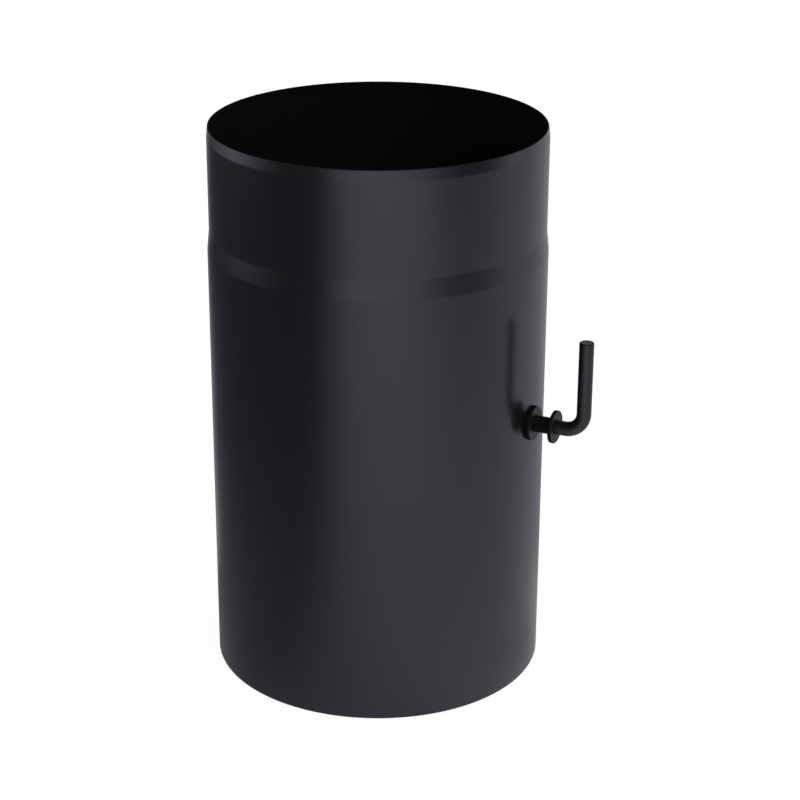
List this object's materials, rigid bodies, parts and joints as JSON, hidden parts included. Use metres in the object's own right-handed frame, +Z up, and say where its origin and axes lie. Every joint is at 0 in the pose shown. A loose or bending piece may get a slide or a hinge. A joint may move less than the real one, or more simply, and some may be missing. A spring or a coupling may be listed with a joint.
{
  "type": "stove pipe damper",
  "caption": "Black steel stove pipe section with a swaged spigot end and a bent-rod handle that turns a damper plate inside the flue.",
  "frame": {"origin": "on the pipe's axis, in the plane of its plain lower end", "axes": "+Z up the pipe towards the spigot, +X along the rod towards the handle"},
  "size_m": [0.1843, 0.15, 0.251],
  "materials": {
    "pipe_paint": "satin black heat-proof paint",
    "rod_paint": "matt black heat-proof paint",
    "fitting_paint": "matt black heat-proof paint",
    "plate_steel": "dark hot-rolled sheet",
    "fastener_zinc": "dull zinc"
  },
  "bodies": {
    "pipe": {"pipe_body": "pipe_paint", "wall_washer": "fitting_paint", "spacer_sleeve": "fitting_paint", "far_washer": "fitting_paint"},
    "damper": {"spindle_handle": "rod_paint", "outer_washer": "fitting_paint", "split_pin": "fastener_zinc", "damper_plate": "plate_steel", "saddle_strap_handle_side": "plate_steel", "saddle_strap_far_side": "plate_steel", "saddle_bolts": "fastener_zinc", "saddle_nuts": "fastener_zinc"}
  },
  "joints": [
    {"name": "damper_turn", "type": "hinge", "parent": "pipe", "child": "damper", "pos_m": [0, 0, 0.1246], "axis": [1, 0, 0], "continuous": true}
  ]
}
